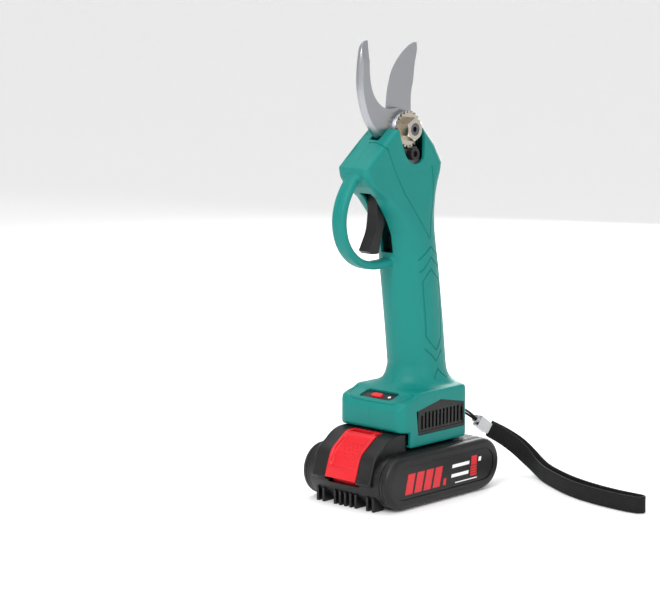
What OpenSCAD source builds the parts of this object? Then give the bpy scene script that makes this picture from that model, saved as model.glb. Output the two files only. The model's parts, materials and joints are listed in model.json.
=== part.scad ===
// Battery electric pruner: slide-on pack, hollow two-part housing, geared bypass head.
// Millimetres. Origin under the middle of the pack, +Z up, -X towards the trigger, +Y right side.

/* [Pack] */
// Length of the pack, front to back
pack_len = 112; // [108:1:118]
// Width of the pack over its end caps
pack_w = 75; // [74:1:80]
// Height of the pack's body above the surface it stands on
pack_h = 35; // [34:0.5:37]
// How far the pack slides forward to come off
pack_travel = 75; // [60:1:90]

/* [Blades] */
// Height of the blade pivot
pivot_z = 238.7; // [236:0.1:240]
// Forward lean of the drive line from the vertical, degrees
lean = 6.8; // [6:0.1:7.5]
// Thickness of the fixed hook blade
hook_t = 4; // [3.5:0.1:4.2]
// Thickness of the moving blade
blade_t = 3; // [2.5:0.1:3]

/* [Housing] */
// Wall of the moulded housing
wall = 2.2; // [1.8:0.1:2.5]
// Half width of the foot that takes the pack
foot_half = 28; // [27:0.5:30]
// Teeth of the drive pinion
pinion_teeth = 9; // [9:1:9]
// Teeth of a full ring of the sector gear
ring_teeth = 40; // [40:1:40]

/* [Wrist strap] */
// Width of the webbing
web_w = 10.6; // [9:0.2:12]
// Thickness of the webbing
web_t = 1.6; // [1.2:0.1:2]

/* [Hidden] */
$fn = 48;
pivot_x = -4.3;
teal = "#23a093";
black = "#232325";
red = "#d8282f";
steel = "#a9abad";
dark_steel = "#6b6d70";
brass = "#b08d4a";

// ---- general shapes -------------------------------------------------------------------------

// A flat outline in the X-Z plane given a thickness from y0 to y1
module slab(y0, y1) {
  translate([0, y1, 0]) rotate([90, 0, 0]) linear_extrude(y1 - y0) children();
}

// A round pin along Y
module pin_y(x, z, r, y0, y1, sides = 48) {
  translate([x, y0, z]) rotate([-90, 0, 0]) cylinder(r = r, h = y1 - y0, $fn = sides);
}

// The drive line's own frame: origin at the pivot, +Z along the drive line towards the blades
module drive_line() {
  translate([pivot_x, 0, pivot_z]) rotate([0, -lean, 0]) children();
}

// Outline of a rectangle with round corners, from its low and high corners
function rounded(lo, hi, r, steps = 6) = [
  for (c = [[hi[0] - r, hi[1] - r, 0], [lo[0] + r, hi[1] - r, 90], [lo[0] + r, lo[1] + r, 180],
      [hi[0] - r, lo[1] + r, 270]], i = [0 : steps])
    let (t = c[2] + i * 90 / steps) [c[0] + r * cos(t), c[1] + r * sin(t)]];

// Outline of a toothed wheel; low and high are the shares of the pitch a tooth fills
function toothed(n, root, tip, turn, low, high) = [
  for (k = [0 : n - 1], e = [[root, -low], [tip, -high], [tip, high], [root, low]])
    let (a = turn + (k + e[1] / 2) * 360 / n) e[0] * [cos(a), sin(a)]];

// A point on a smooth curve between b and c, with a and d their outer neighbours
function spline(a, b, c, d, t) =
  0.5 * (2 * b + (c - a) * t + (2 * a - 5 * b + 4 * c - d) * t * t
    + (3 * b - a - 3 * c + d) * t * t * t);

// A smooth open curve through points, n steps between neighbours
function smooth(p, n) = let (e = len(p) - 1) [
  for (i = [0 : e - 1], k = [0 : n - 1])
    spline(p[max(i - 1, 0)], p[i], p[i + 1], p[min(i + 2, e)], k / n),
  p[e]];

function unit(v) = v / norm(v);

// Direction of travel along a list of points at point i
function heading(p, i) = unit(p[min(i + 1, len(p) - 1)] - p[max(i - 1, 0)]);

// A closed surface through equal rings of points, stacked in order
module skin(rings) {
  n = len(rings[0]);
  last = len(rings) - 1;
  polyhedron(
    points = [for (r = rings) each r],
    faces = [
      [for (i = [0 : n - 1]) i],
      [for (i = [n - 1 : -1 : 0]) last * n + i],
      for (k = [0 : last - 1], i = [0 : n - 1]) let (j = (i + 1) % n)
        each [[k * n + i, (k + 1) * n + i, (k + 1) * n + j], [k * n + i, (k + 1) * n + j, k * n + j]]
    ]);
}

// ---- housing --------------------------------------------------------------------------------

// Level sections of the handle and head: height, front, rear, half width, squareness
body_levels = [
  [60, -8, 37.5, 19.4, 2.2], [85, -6.3, 34.9, 18, 2], [116, -9.9, 31.3, 18, 2],
  [147, -14, 27.1, 18, 2], [160, -16, 25.3, 17.4, 2], [172, -17.6, 23.6, 16.5, 2.1],
  [181, -21.5, 22.8, 15.6, 2.3], [187, -25.5, 22.6, 15, 2.5], [196, -32, 23, 14.2, 2.8],
  [204, -43, 24.3, 13.6, 3.4], [210, -47.5, 25.7, 13.3, 3.8], [216, -49, 27.2, 13, 4.2],
  [227.8, -34.8, 19.7, 13, 4.4], [239.4, -20, 8.4, 13, 4.4]];
function power(v, e) = sign(v) * pow(abs(v), e);
function level_ring(s, inset, z) = [
  for (i = [0 : 31]) let (t = i * 11.25, e = 2 / s[4])
    [(s[1] + s[2]) / 2 + ((s[2] - s[1]) / 2 - inset) * power(cos(t), e),
     (s[3] - inset) * power(sin(t), e), z]];

module handle_shape(inset) {
  skin([for (s = body_levels) level_ring(s, inset, s[0])]);
}

// Side outline of the foot, then the same drawn in by a wall
foot_line = [[-22.6, 36.3], [35.6, 36.3], [35.6, 68], [32, 71.6], [-13, 71.6], [-18, 69.2],
  [-28.4, 66], [-31.6, 61.5], [-31.6, 48.5], [-30, 46.8], [-22.6, 46.8]];
foot_room = [[-29.2, 49], [-23, 49], [-23, 35], [33.2, 35], [33.2, 67.4], [31, 69.2],
  [-12, 69.2], [-17, 66.9], [-27.2, 63.7], [-29.2, 61]];

module foot_shape() {
  intersection() {
    slab(-foot_half, foot_half) polygon(foot_line);
    translate([0, 0, 30]) linear_extrude(50)
      polygon(rounded([-31.6, -foot_half], [35.6, foot_half], 7, 8));
  }
}

module foot_cavity() {
  room = foot_half - 2.4;
  intersection() {
    slab(-room, room) polygon(foot_room);
    translate([0, 0, 30]) linear_extrude(50) polygon(rounded([-29.2, -room], [33.2, room], 4.6));
  }
}

// Middle line of the finger guard, from the brow round to the front of the handle
guard_line = [[-43, 214], [-47.5, 209.5], [-53, 203], [-57.8, 194], [-60, 183.3], [-58, 172],
  [-52.7, 163.3], [-44, 156.6], [-33.5, 153.4], [-22, 153], [-11, 154]];
guard_t = 5.4;
guard_half = 5.2;
function beside(p, i, d) = let (h = heading(p, i)) [p[i][0] - h[1] * d, p[i][1] + h[0] * d];

module guard_shape() {
  line = smooth(guard_line, 4);
  n = len(line) - 1;
  slab(-guard_half, guard_half) polygon([
    for (i = [0 : n]) beside(line, i, guard_t / 2),
    for (i = [n : -1 : 0]) beside(line, i, -guard_t / 2)]);
}

// Screw places in the housing, as X, Z
boss_places = [[-36.5, 210.5], [18.6, 206], [-11.5, 151], [23.4, 151], [-2, 90], [30.4, 90],
  [-25.5, 55], [29, 63.6]];
boss_r = 3.3;

// Side opening in front of the pivot nut, open at the top
nut_window = [[-21.5, 245], [-17.6, 236], [-14.6, 228], [-11.5, 221.6], [-8, 218.2], [-3.5, 216.6],
  [1, 216.8], [4.6, 219], [6, 223], [6.2, 245]];
vent_outline = [[-15.8, 43.9], [-17.5, 59.8], [6.6, 64.7], [29.8, 60], [31.1, 43.8]];
panel_tilt = 17.2;
panel_mid = [-21.9, 67.15];
panel_size = [9.8, 27.2];

module at_panel() {
  translate([panel_mid[0], 0, panel_mid[1]]) rotate([0, -panel_tilt, 0]) children();
}

string_z = 55.5;
// What is cut from both halves of the housing
module housing_cuts() {
  // slot on top for the blades, and the narrow mouth in the brow that the hook blade leaves through
  slab(-9.4, 11.3) polygon([[-17.5, 224], [-17.5, 250], [30, 250], [8.1, 238], [8.1, 230]]);
  slab(-4.45, 3.6) polygon([[-25.5, 229.5], [-34, 238.5], [-34, 250], [-10, 250], [-10, 220]]);
  // slot for the trigger
  slab(-5, 5) polygon([[-42, 161], [-13, 159.6], [-12.3, 172], [-13, 186], [-14, 200], [-28, 203],
    [-34, 199.4], [-42, 199.4]]);
  // seat of the control panel
  at_panel() translate([-panel_size[0] / 2 - 0.1, -panel_size[1] / 2 - 0.1, -4])
    cube([panel_size[0] + 0.2, panel_size[1] + 0.2, 8]);
  // two holes for the wrist strap's string
  for (y = [-7.5, -2.5]) translate([30, y, string_z]) rotate([0, 90, 0]) cylinder(r = 1.6, h = 8);
}

// Solid brow on the left of the hook blade, in front of the nut window
module brow() {
  intersection() {
    handle_shape(0.6);
    slab(-14, -4.45) polygon([[-50, 214], [-23, 214], [-18.6, 222], [-18.6, 240], [-50, 240]]);
  }
}

// Both halves before they are parted
module housing_whole() {
  difference() {
    union() {
      difference() {
        union() {
          handle_shape(0);
          foot_shape();
          guard_shape();
        }
        handle_shape(wall);
        foot_cavity();
        slab(-9.4, 11.3) polygon([[-16, 212], [8, 212], [8.1, 240], [-17.5, 240]]);
      }
      brow();
      // rails for the pack's deck
      for (s = [-1, 1]) translate([-22.6, s * 23.35 - 2.65, 36.4]) cube([56.5, 5.3, 2.2]);
      for (p = boss_places) intersection() {
        pin_y(p[0], p[1], boss_r, -foot_half, foot_half);
        union() { handle_shape(1); foot_shape(); }
      }
    }
    housing_cuts();
  }
}

module housing_left() {
  color(teal) difference() {
    housing_whole();
    translate([-100, 0, 0]) cube([200, 50, 300]);
    slab(-20, -8) polygon(nut_window);
    slab(-foot_half - 1, -foot_half + 3) polygon(vent_outline);
    for (p = boss_places) pin_y(p[0], p[1], 1.2, -8, 1);
  }
}

module housing_right() {
  color(teal) difference() {
    housing_whole();
    translate([-100, -50, 0]) cube([200, 50, 300]);
    slab(foot_half - 3, foot_half + 1) polygon(vent_outline);
    for (p = boss_places) {
      pin_y(p[0], p[1], 1.65, -1, 30);
      pin_y(p[0], p[1], 2.6, 6, 30);
    }
  }
}

module housing_screws() {
  color(dark_steel) for (p = boss_places) difference() {
    union() {
      pin_y(p[0], p[1], 1.1, -7, 4);
      pin_y(p[0], p[1], 1.5, 4, 6.05);
      pin_y(p[0], p[1], 2.45, 6.05, 8);
    }
    translate([p[0], 7.4, p[1]]) for (a = [0, 45]) rotate([0, a, 0]) cube([3, 2, 0.8], center = true);
  }
}

// A slotted grille, set into the side of the foot
module vent_grille(y0, y1) {
  color(black) difference() {
    slab(y0, y1) intersection() {
      polygon(vent_outline);
      translate([-15.7, 44.1]) square([46, 20.2]);
    }
    for (i = [0 : 11]) translate([-12.2 + i * 3.55, y0 - 1, 47.5])
      cube([1.7, y1 - y0 + 2, 10.6]);
  }
}
module vent_grille_left() { vent_grille(-foot_half + 0.4, -foot_half + 2.2); }
module vent_grille_right() { vent_grille(foot_half - 2.2, foot_half - 0.4); }

button_y = 2;
light_y = -8.6;

module control_panel() {
  color(black) at_panel() difference() {
    translate([-panel_size[0] / 2, -panel_size[1] / 2, -2.4]) cube([panel_size[0], panel_size[1], 2.4]);
    translate([0, button_y, -3]) linear_extrude(4) button_outline(0.15);
    translate([0, light_y, -3]) cylinder(r = 1.2, h = 4);
  }
}

// Oval of the power button, grown by extra
module button_outline(extra) {
  square([2 * (2.4 + extra), 4.4], center = true);
  for (s = [-1, 1]) translate([0, s * 2.2]) circle(2.4 + extra);
}

module power_button() {
  color(red) at_panel() {
    translate([0, button_y, -1.6]) linear_extrude(2.5) button_outline(0);
    translate([0, button_y, -4.2]) cylinder(r = 1.2, h = 2.6);
  }
}

module status_light() {
  color("white") at_panel() translate([0, light_y, -5.6]) cylinder(r = 1.1, h = 5.8);
}

// Board under the panel, with its switch and its larger components
module control_board() {
  color("#1f6b3a") at_panel() {
    translate([-2.6, -13, -7.2]) cube([5.2, 26, 1.6]);
    translate([-2, button_y - 2, -5.6]) cube([4, 4, 0.3]);
  }
  color("#1f6b3a") translate([-12, -18, 52]) cube([37, 36, 1.6]);
  color(black) {
    for (y = [-11, 0, 11]) translate([-6, y, 53.6]) cylinder(r = 4, h = 10);
    translate([8, -9, 53.6]) cube([9, 9, 1.6]);
    translate([20, -12, 53.6]) cube([4, 22, 3]);
  }
}

// Contact carrier at the back of the foot, and its blades pointing forward into the pack
module terminal_block() {
  color(black) difference() {
    translate([24.5, -16, 47.4]) cube([8.4, 32, 4]);
    for (y = [-12 : 6 : 12]) translate([20, y - 0.5, 46]) cube([10, 1, 4.5]);
  }
  color(black) translate([29.6, -16, 40.2]) cube([3.3, 32, 7.2]);
}

module terminal_blades() {
  color(brass) for (y = [-12 : 6 : 12]) {
    translate([17.5, y - 0.4, 40.6]) cube([12.1, 0.8, 5.2]);
    translate([25.6, y - 0.4, 45.8]) cube([4, 0.8, 4.6]);
  }
}

// ---- blades and drive -----------------------------------------------------------------------

hook_far = -0.05;
hook_near = hook_far - hook_t;
blade_near = 0.05;
blade_far = blade_near + blade_t;
bolt_r = 4;
bush_r = 5.5;

// Hook blade: outer edge from the tip down to the tang, then back up the inner edge
hook_outer = [[-35.6, 295.4], [-38.9, 294.6], [-41.9, 291.4], [-43.5, 285], [-44.6, 276],
  [-44.7, 267.5], [-43.5, 260], [-41, 251.8], [-37.6, 245], [-33, 239.2], [-27, 233],
  [-19, 227.8], [-12, 222.5]];
hook_inner = [[-9, 252.6], [-14, 252], [-18.9, 252.2], [-24, 253.4], [-28.6, 256.7],
  [-32.3, 261], [-34.8, 266.6], [-36.2, 274], [-36.6, 283], [-36.2, 290]];
blade_edge = [[12.6, 293], [7.4, 291.9], [2.4, 289.5], [-1.6, 286.7], [-5.4, 283.2], [-9, 279],
  [-11.9, 274], [-13.8, 268.5], [-15.2, 263.5], [-16, 258.5], [-16.5, 254], [-16.6, 248],
  [-14, 241]];
blade_spine = [[7, 236], [7.2, 243], [7.2, 250], [7.1, 257], [7.9, 263.5], [9.3, 268.5],
  [10, 274], [10.7, 279], [12, 284], [13.1, 289]];

// Fixed hook blade with its tang and the raised boss that the toothed disc sits on
module fixed_blade() {
  color(steel) difference() {
    union() {
      slab(hook_near, hook_far) {
        polygon(concat(smooth(hook_outer, 3), [[-4, 221]], smooth(hook_inner, 3)));
        translate([pivot_x, pivot_z]) circle(12.2);
      }
      drive_line() slab(hook_near, hook_far) polygon(rounded([-8, -18.6], [8, 0], 2));
      translate([pivot_x, -6.8, pivot_z]) rotate([-90, 0, 0])
        cylinder(r1 = 11.5, r2 = 12, h = 7.8 + hook_near);
    }
    pin_y(pivot_x, pivot_z, bush_r + 0.02, -8, 1);
    drive_line() for (x = tang_screw_x) pin_y(x, lock_u, 1.3, hook_near - 1, 1);
  }
}

// Moving blade, its root round the pivot and the two screw lobes for the sector gear
module moving_blade() {
  color(steel) difference() {
    slab(blade_near, blade_far) {
      polygon(concat(smooth(blade_edge, 3), smooth(blade_spine, 3)));
      translate([pivot_x, pivot_z]) circle(12);
    }
    pin_y(pivot_x, pivot_z, bush_r + 0.03, -1, 5);
    for (a = sector_screw_angles) sector_screw_place(a) translate([0, 0, -1]) cylinder(r = 1.3, h = 9);
  }
}

sector_screw_angles = [-30, 20, 70];
module sector_screw_place(a) {
  translate([pivot_x, 0, pivot_z]) rotate([0, a + lean, 0]) translate([0, 0, -9.6])
    rotate([-90, 0, 0]) children();
}

// Gear pair: straight bevel teeth on cones that meet at the pivot
cone_r0 = 20;
cone_r1 = 26;
pitch = 360 / ring_teeth;
pinion_pitch_r = cone_r0 * pinion_teeth / ring_teeth;
tooth_add = 0.52;
tooth_ded = 0.8;
sector_lo = -5;
sector_hi = 52;
ring_face = pinion_pitch_r + tooth_ded;

// The sector's own frame: Z along the pivot axis (+Y), X towards the pinion
module sector_frame() {
  drive_line() rotate([-90, 0, 0]) rotate([0, 0, 90]) children();
}

module sector_gear() {
  grow = cone_r1 / cone_r0;
  color(dark_steel) difference() {
    union() {
      sector_frame() {
        translate([0, 0, blade_far]) cylinder(r = 11.6, h = 8.6 - blade_far);
        // web and toothed ring
        rotate([0, 0, sector_lo]) rotate_extrude(angle = sector_hi - sector_lo)
          polygon([[10, 5.4], [cone_r0 - 0.6, 5.4], [cone_r0, ring_face], [cone_r1, ring_face * grow],
            [cone_r1, 8.4], [10, 8.4]]);
        for (k = [0 : 5]) rotate([0, 0, (k + 0.5) * pitch]) rotate([90, 0, 90]) bevel_tooth();
      }
    }
    pin_y(pivot_x, pivot_z, bush_r + 0.03, 0, 12);
    for (a = sector_screw_angles) sector_screw_place(a) {
      translate([0, 0, 1]) cylinder(r = 1.7, h = 9);
      translate([0, 0, 6.4]) cylinder(r = 3, h = 3);
    }
  }
}

// One tooth of the sector, along +Z between the cones, its tip towards the pinion (-Y there)
module bevel_tooth() {
  tip = pinion_pitch_r - tooth_add;
  root = ring_face + 0.3;
  skin([for (z = [cone_r0 + 0.1, cone_r1 - 0.25]) [
    for (p = [[-0.4, tip], [0.4, tip], [0.92, root], [-0.92, root]]) [p[0], p[1], cone_r0] * z / cone_r0]]);
}

module sector_screws() {
  color(steel) for (a = sector_screw_angles) sector_screw_place(a) difference() {
    union() {
      translate([0, 0, blade_near + 0.1]) cylinder(r = 1.25, h = 6.5);
      translate([0, 0, 6.45]) cylinder(r = 2.7, h = 2);
    }
    translate([0, 0, 7.4]) cylinder(r = 1.2, h = 2, $fn = 6);
  }
}

// Bevel pinion with its shaft, which runs in the bearing and into the gearbox
module drive_pinion() {
  grow = cone_r1 / cone_r0;
  root = (pinion_pitch_r - tooth_ded + 0.05) * grow;
  tip = (pinion_pitch_r + tooth_add) * grow;
  color(dark_steel) drive_line() {
    translate([0, 0, -cone_r1]) linear_extrude(cone_r1 - cone_r0, scale = 1 / grow)
      polygon(toothed(pinion_teeth, root, tip, 90, 0.56, 0.2));
    translate([0, 0, -28]) cylinder(r = 4.6, h = 28.5 - cone_r1);
    translate([0, 0, -46]) cylinder(r = 4, h = 18.5);
  }
}

// Cast frame: bearing housing, flange to the gearbox and the upright that holds the hook blade
upright_y = -6.85;
tang_screw_x = [-5.7, 5.7];
lock_u = -16;
module blade_frame() {
  color("#8d8f92") difference() {
    drive_line() {
      translate([0, 0, -43]) cylinder(r = 11, h = 13.5);
      translate([0, 0, -46]) cylinder(r = 11.6, h = 3);
      translate([-8.2, -9.4, -34]) cube([16.4, 2.4, 13]);
      translate([-8.2, -8.25, -22]) cube([16.4, 2.55, 3.6]);
      translate([-8.2, upright_y, -19]) cube([16.4, hook_near - 0.02 - upright_y, 6.2]);
    }
    drive_line() {
      translate([0, 0, -41]) cylinder(r = 8.02, h = 15);
      translate([0, 0, -50]) cylinder(r = 4.6, h = 15);
      translate([0, 0, -29.3]) cylinder(r = 7.3, h = 10);
      for (x = tang_screw_x) pin_y(x, lock_u, 1.7, -12, 1);
      pin_y(0, lock_u, 2.4, -12, -4);
    }
  }
}

module pinion_bearing() {
  color(steel) drive_line() translate([0, 0, -41]) difference() {
    cylinder(r = 8, h = 8);
    translate([0, 0, -1]) cylinder(r = 4.03, h = 10);
    for (z = [-0.4, 7.6]) translate([0, 0, z]) difference() {
      cylinder(r = 7, h = 0.8);
      translate([0, 0, -0.1]) cylinder(r = 5.2, h = 1);
    }
  }
}

module tang_screws() {
  color(steel) drive_line() for (x = tang_screw_x) {
    pin_y(x, lock_u, 1.25, -7.2, hook_far - 0.1);
    pin_y(x, lock_u, 2.3, -8.3, upright_y - 0.02);
  }
}

// Shoulder bolt from the far side, its bush, and the washer under its head
module pivot_bolt() {
  color(dark_steel) difference() {
    union() {
      pin_y(pivot_x, pivot_z, bolt_r, -13.6, 10);
      pin_y(pivot_x, pivot_z, 5.9, 9.45, 11);
    }
    translate([pivot_x, -13.7, pivot_z]) rotate([-90, 0, 0]) cylinder(r = 2, h = 3, $fn = 6);
  }
}
module pivot_bush() {
  color(brass) difference() {
    pin_y(pivot_x, pivot_z, bush_r, -6.7, 8.5);
    pin_y(pivot_x, pivot_z, bolt_r + 0.05, -8, 9);
  }
}
module pivot_washer() {
  color(steel) difference() {
    pin_y(pivot_x, pivot_z, 7.6, 8.7, 9.4);
    pin_y(pivot_x, pivot_z, bolt_r + 0.1, 8, 10);
  }
}

// Adjusting disc, toothed all round, turned with the nut and held by the lock plate
disc_teeth = 22;
module toothed_disc() {
  color("#b9b2a6") difference() {
    translate([pivot_x, 0, pivot_z]) slab(-8.3, -6.85)
      polygon(toothed(disc_teeth, 10.3, 11.8, 90 + lean + 180 / disc_teeth, 0.58, 0.36));
    pin_y(pivot_x, pivot_z, bolt_r + 0.1, -9, -6);
  }
}

module pivot_nut() {
  color("#b9b2a6") difference() {
    translate([pivot_x, -13.9, pivot_z]) rotate([-90, 0, 0]) rotate([0, 0, 90]) intersection() {
      cylinder(r = 7.6, h = 5.55, $fn = 6);
      union() {
        cylinder(r1 = 6.7, r2 = 7.9, h = 1);
        translate([0, 0, 1]) cylinder(r = 7.9, h = 5);
      }
    }
    pin_y(pivot_x, pivot_z, bolt_r + 0.05, -15, -7);
  }
}

// Small plate whose tooth enters the disc, clamped by the socket screw
module lock_plate() {
  color(steel) drive_line() difference() {
    slab(-8.3, upright_y - 0.02) {
      translate([-3, lock_u - 2.3]) square([6, 6.1]);
      polygon([[-0.9, lock_u + 3.7], [0.9, lock_u + 3.7], [0.4, -10.9], [-0.4, -10.9]]);
    }
    pin_y(0, lock_u, 2.45, -12, -6);
  }
}
module lock_screw() {
  color(black) drive_line() difference() {
    union() {
      pin_y(0, lock_u, 2.35, -9, -4.2);
      pin_y(0, lock_u, 4, -12.6, -8.32);
    }
    translate([0, -12.7, lock_u]) rotate([-90, 0, 0]) cylinder(r = 2.2, h = 2.2, $fn = 6);
  }
}

// Gearbox and motor in line with the drive
box_top = -46.1;
box_len = 33;
motor_top = box_top - box_len - 0.1;
motor_len = 50;
module gearbox_case() {
  color("#8d8f92") drive_line() difference() {
    translate([0, 0, box_top - box_len]) {
      cylinder(r = 11.5, h = box_len);
      translate([0, 0, 4]) for (k = [0 : 2]) translate([0, 0, k * 8]) cylinder(r = 11.8, h = 5);
    }
    translate([0, 0, box_top - 3]) cylinder(r = 4.6, h = 4);
    translate([0, 0, box_top - box_len - 1]) cylinder(r = 3.4, h = 6);
  }
}
module motor_can() {
  color(steel) drive_line() translate([0, 0, motor_top - motor_len]) difference() {
    cylinder(r = 13.8, h = motor_len);
    translate([0, 0, -1]) cylinder(r = 12.8, h = motor_len - 1);
    cylinder(r = 3.4, h = motor_len + 1);
    for (s = [-1, 1]) translate([s * 13.8, 0, 16]) cube([4, 5, 8], center = true);
  }
}
module motor_magnets() {
  color("#3b3c3f") drive_line() translate([0, 0, motor_top - 42]) for (a = [15, 195])
    rotate([0, 0, a]) rotate_extrude(angle = 150) translate([10.4, 0]) square([2.3, 34]);
}
module motor_rotor() {
  color("#9a5a33") drive_line() {
    translate([0, 0, motor_top - 40]) difference() {
      cylinder(r = 9.8, h = 30);
      for (k = [0 : 4]) rotate([0, 0, k * 72]) translate([8.8, 0, 15]) cube([4, 3, 32], center = true);
    }
    translate([0, 0, motor_top - motor_len - 4.5]) cylinder(r = 1.6, h = motor_len + 8.5);
    translate([0, 0, motor_top - 47]) cylinder(r = 4, h = 6);
    translate([0, 0, motor_top - 1]) cylinder(r = 2.6, h = 5, $fn = 12);
  }
}
module motor_end_cap() {
  color(black) drive_line() translate([0, 0, motor_top - motor_len - 4.6]) difference() {
    union() {
      cylinder(r = 13.8, h = 4.5);
      for (s = [-1, 1]) translate([s * 8 - 1.5, -0.4, -5]) cube([3, 0.8, 5]);
    }
    translate([0, 0, -1]) cylinder(r = 1.65, h = 7);
  }
}

// ---- trigger --------------------------------------------------------------------------------

trigger_pin_at = [-19.5, 195];
trigger_front = [[-28.4, 198], [-29.2, 192], [-29.3, 185], [-31, 175], [-35.4, 166.5],
  [-37.4, 162.8]];
trigger_back = [[-34.6, 160.8], [-28.6, 160.6], [-27.2, 163.4], [-25.2, 171], [-22.6, 179],
  [-20.5, 186], [-15.4, 189]];

module trigger() {
  color(black) difference() {
    slab(-4.3, 4.3) {
      polygon(concat(smooth(trigger_front, 3), smooth(trigger_back, 3), [[-16, 197]]));
      translate(trigger_pin_at) circle(4);
    }
    pin_y(trigger_pin_at[0], trigger_pin_at[1], 1.55, -6, 6);
    slab(-2.3, 2.3) translate(trigger_pin_at) circle(4.4);
    slab(-2.3, 2.3) translate([trigger_pin_at[0], 186.8]) square([9, 8]);
  }
}

module trigger_pin() {
  color(steel) pin_y(trigger_pin_at[0], trigger_pin_at[1], 1.5, -9.8, 9.8);
}

// Torsion spring round the pin, its legs up against the housing and down behind the trigger
module trigger_spring() {
  color(steel) {
    for (k = [-1.5 : 1 : 1.5]) translate([trigger_pin_at[0], k, trigger_pin_at[1]])
      rotate([90, 0, 0]) rotate_extrude() translate([2.4, 0]) circle(0.42, $fn = 16);
    translate([trigger_pin_at[0] + 2.4, -1.5, trigger_pin_at[1]]) cylinder(r = 0.42, h = 9, $fn = 16);
  }
}

module trigger_switch() {
  color(black) {
    translate([-13.4, -5, 188.6]) rotate([0, -lean, 0]) cube([2.6, 10, 12]);
    translate([-13.9, -1, 193.5]) cube([0.8, 2, 2]);
  }
}

// ---- pack -----------------------------------------------------------------------------------

seam = 30.2;          // half width of the case, where the end caps begin
floor_gap = 0.8;      // the feet lift the case by this much
half_len = pack_len / 2;
round_r = (pack_h - floor_gap) / 2;

// Side outline of the pack: a bar with round ends, drawn in by inset
module pack_outline(inset) {
  r = round_r - inset;
  translate([0, floor_gap + round_r]) {
    square([pack_len - 2 * round_r, 2 * r], center = true);
    for (s = [-1, 1]) translate([s * (half_len - round_r), 0]) circle(r);
  }
}

// Hump at the front, with the pocket for the latch button, and the deck that slides in the foot
hump_line = [[-59.6, 17.5], [-57.8, 22.6], [-53.8, 34.6], [-40.6, 43.9], [-33, 46.1], [-24, 46.1],
  [-24, 33], [-45, 10]];
deck_end = 29.2;
module pack_case() {
  color(black) difference() {
    union() {
      slab(-seam, seam) pack_outline(0);
      slab(-25, 25) polygon(hump_line);
      translate([-30, -20, 34]) cube([deck_end + 30, 40, 5]);
      translate([-30, -24.8, 38.95]) cube([deck_end + 30, 49.6, 3.3]);
      translate([-30, -20, 42]) cube([deck_end + 30, 40, 4.1]);
      pack_feet();
    }
    slab(-seam - 1, seam + 1) pack_outline(2.2);
    // pocket of the latch button, open to the inside for its hook and springs
    slab(-13.3, 13.3) polygon([[-62, 14.5], [-60, 24], [-56, 36], [-42, 46], [-38.4, 48], [-30, 48],
      [-30, 38], [-50, 26], [-52, 14.5]]);
    // slots of the terminals, and the charging socket's hole
    for (y = [-12 : 6 : 12]) translate([16, y - 0.75, 40]) cube([18, 1.5, 6.9]);
    translate([14, -15, 31]) cube([12, 30, 9.4]);
    translate([-17, 0, 30]) cylinder(r = 3.9, h = 20);
    for (x = pack_screw_x, y = [-20, 20]) translate([x, y, -1]) {
      cylinder(r = 1.65, h = 6);
      cylinder(r = 3.1, h = 2.7);
    }
  }
  // seat of the latch springs
  color(black) translate([-50, -14.4, 27.2]) {
    cube([9, 28.8, 2]);
    for (y = [0, 27.8]) translate([0, y, 0]) cube([9, 1, 6]);
  }
}

pack_screw_x = [-28.05, 28.05];
// Feet and bumper ribs under and behind the case
module pack_feet() {
  for (y = [-24, -19, -9, -4.5, 0, 4.5, 9, 19, 24]) {
    translate([-54.5, y - 0.9, 0]) cube([9, 1.8, 9]);
    translate([45.5, y - 0.9, 0]) cube([9, 1.8, 9]);
  }
  for (s = [-1, 1]) translate([47, s * 21.5 - 4, 8]) cube([9.6, 8, 13]);
  for (x = [-40, -4, 32]) translate([x, -26, 0]) cube([8, 52, 3]);
}

// The pack's side outline as a ring of points at a given Y
function pack_ring(inset, y, steps = 24) = [
  for (c = [[1, -90], [-1, 90]], i = [0 : steps]) let (t = c[1] + i * 180 / steps, r = round_r - inset)
    [c[0] * (half_len - round_r) + r * cos(t), y, floor_gap + round_r + r * sin(t)]];

// End cap: straight for a little, then drawn in to a softer edge. Each level is a share of its
// thickness and how far the outline is drawn in.
cap_levels = [[0, 0], [0.44, 0], [0.66, 0.3], [0.81, 0.9], [0.92, 1.8], [1, 3]];
module pack_cap(s) {
  start = seam + 0.05;
  count = len(cap_levels);
  color(black) difference() {
    skin([for (k = [0 : count - 1]) let (c = cap_levels[s < 0 ? k : count - 1 - k])
      pack_ring(c[1], s * (start + c[0] * (pack_w / 2 - start)))]);
    slab(min(s * 20, s * 33.6), max(s * 20, s * 33.6)) pack_outline(2.2);
    slab(min(s * 36.6, s * 40), max(s * 36.6, s * 40)) pack_outline(6.6);
  }
}
module pack_cap_left() { pack_cap(-1); }
module pack_cap_right() { pack_cap(1); }

module pack_label(y0) {
  color("#e8e6e2") slab(y0, y0 + 0.3) pack_outline(6.9);
}
module pack_label_left() { pack_label(-36.95); }
module pack_label_right() { pack_label(36.65); }

module pack_screws() {
  color(dark_steel) for (x = pack_screw_x, y = [-20, 20]) translate([x, y, 0]) {
    translate([0, 0, 1.2]) cylinder(r = 1.5, h = 5);
    difference() {
      translate([0, 0, 0.4]) cylinder(r = 2.7, h = 1.3);
      for (a = [0, 90]) rotate([0, 0, a]) cube([3.4, 0.8, 1.6], center = true);
    }
  }
}

cell_pitch = 18.7;
module pack_cells() {
  color("#3a6fb0") for (i = [-2 : 2]) pin_y(i * cell_pitch, 12.6, 9.1, -32.5, 32.5);
}
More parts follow.
